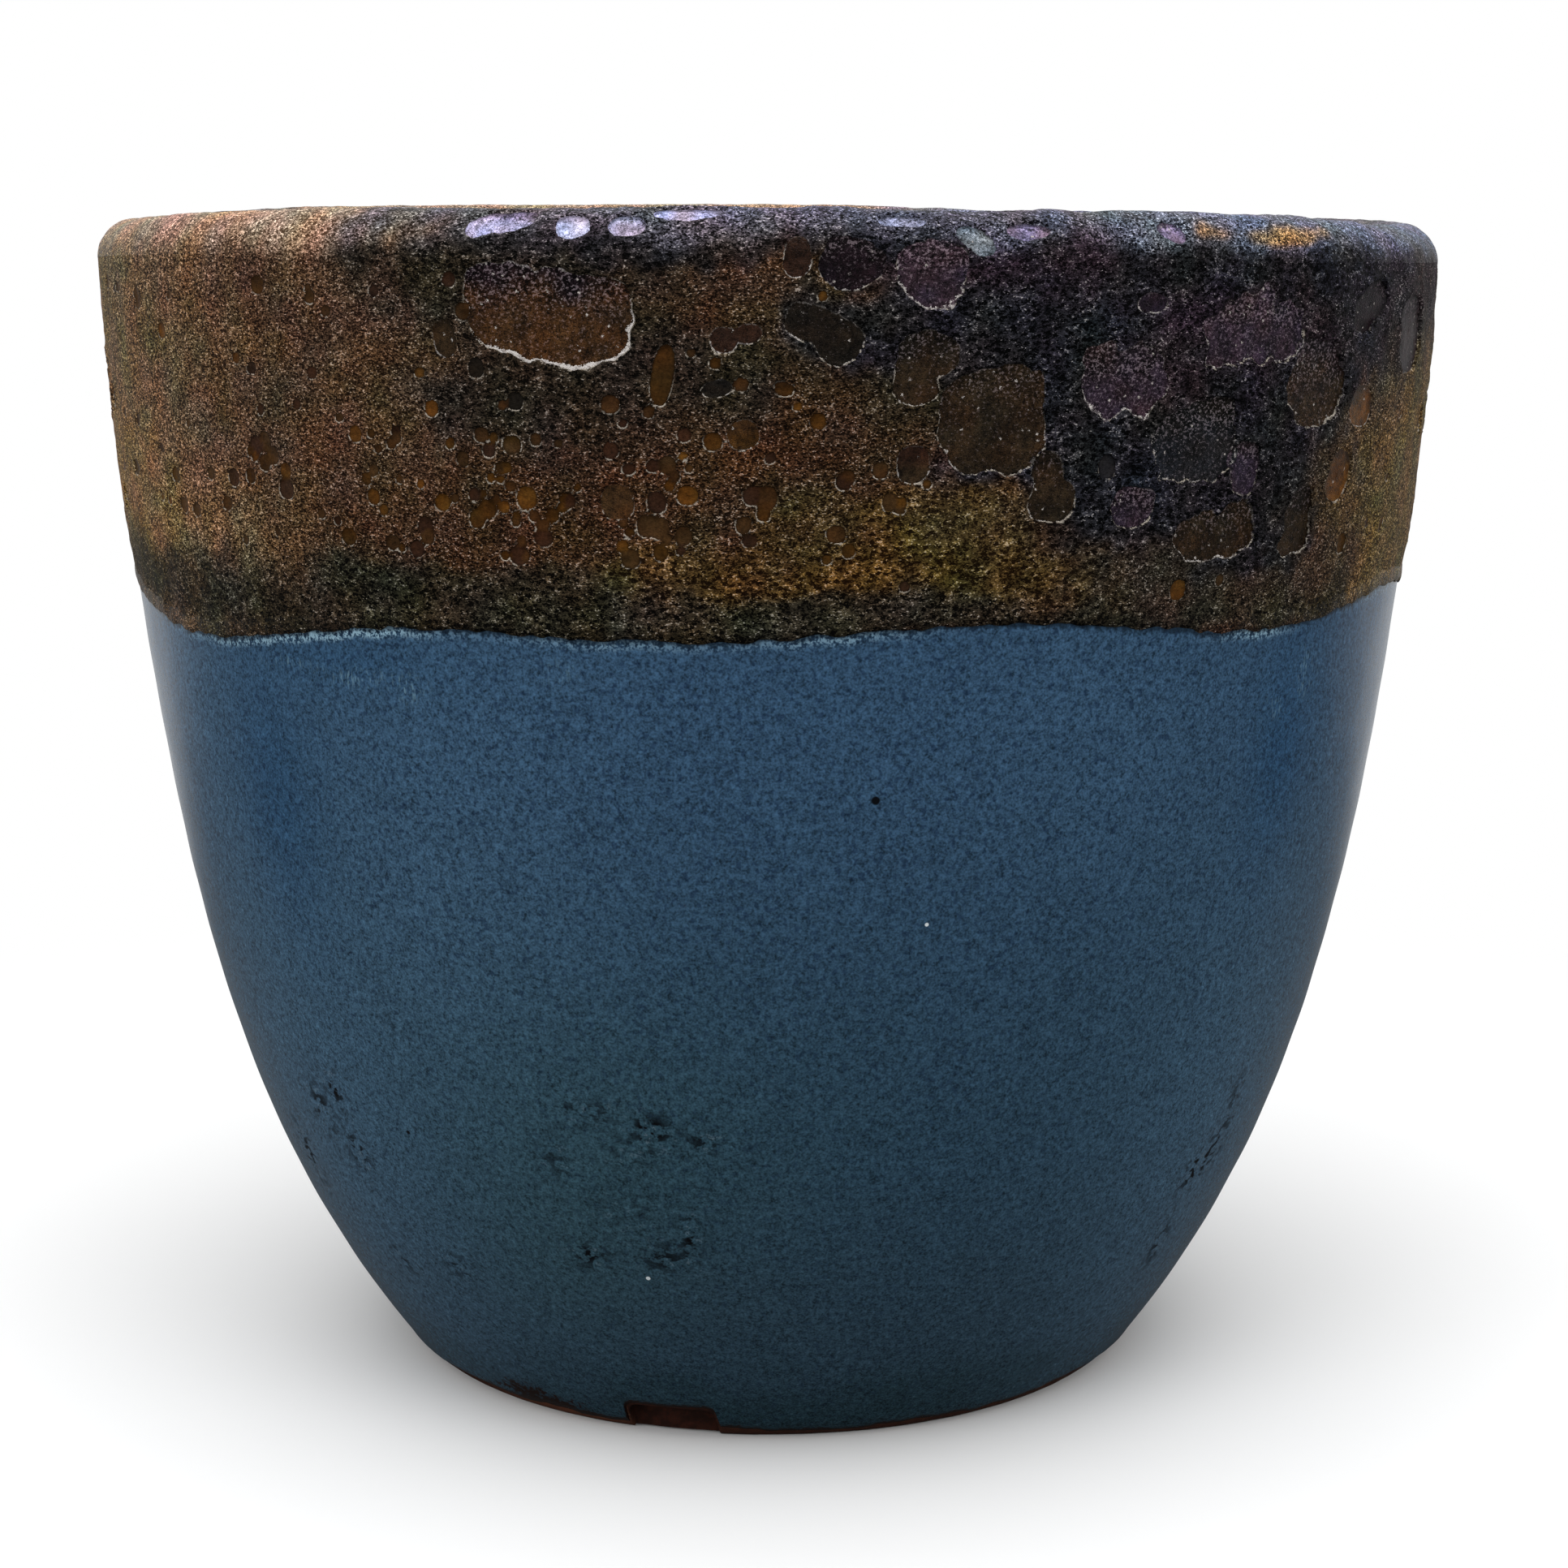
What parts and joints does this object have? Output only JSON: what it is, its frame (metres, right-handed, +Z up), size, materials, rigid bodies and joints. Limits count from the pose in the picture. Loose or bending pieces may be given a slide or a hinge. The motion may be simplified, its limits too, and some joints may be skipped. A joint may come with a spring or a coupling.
{
  "type": "stoneware planter",
  "caption": "Tapered round stoneware planter: smooth blue glaze below, thick cratered brown lava glaze above, rounded lip, notched foot ring and drainage hole.",
  "frame": {"origin": "centre of the foot ring's underside, on the ground", "axes": "+Z up along the pot's axis, front towards -Y, +X to the viewer's right"},
  "size_m": [0.4, 0.4, 0.35],
  "materials": {
    "red_stoneware": "bare fired red-brown stoneware, matt and slightly gritty",
    "blue_glaze": "satin speckled slate-blue glaze",
    "lava_glaze": "thick pebbled brown-black crust with craters and bright glints",
    "dark_glaze": "thick glossy brown-black rolled edge",
    "amber_glaze": "glossy amber to brown glass pooled in craters",
    "plum_glaze": "glossy blue-black and plum glaze with lavender-white patches"
  },
  "bodies": {
    "root": {"clay_wall": "red_stoneware", "clay_floor": "red_stoneware", "foot_ring": "red_stoneware", "blue_glaze": "blue_glaze", "lava_glaze": "lava_glaze", "glaze_roll": "dark_glaze", "crater_pools": "amber_glaze", "lip_glaze": "plum_glaze", "inner_glaze": "plum_glaze"}
  },
  "joints": []
}
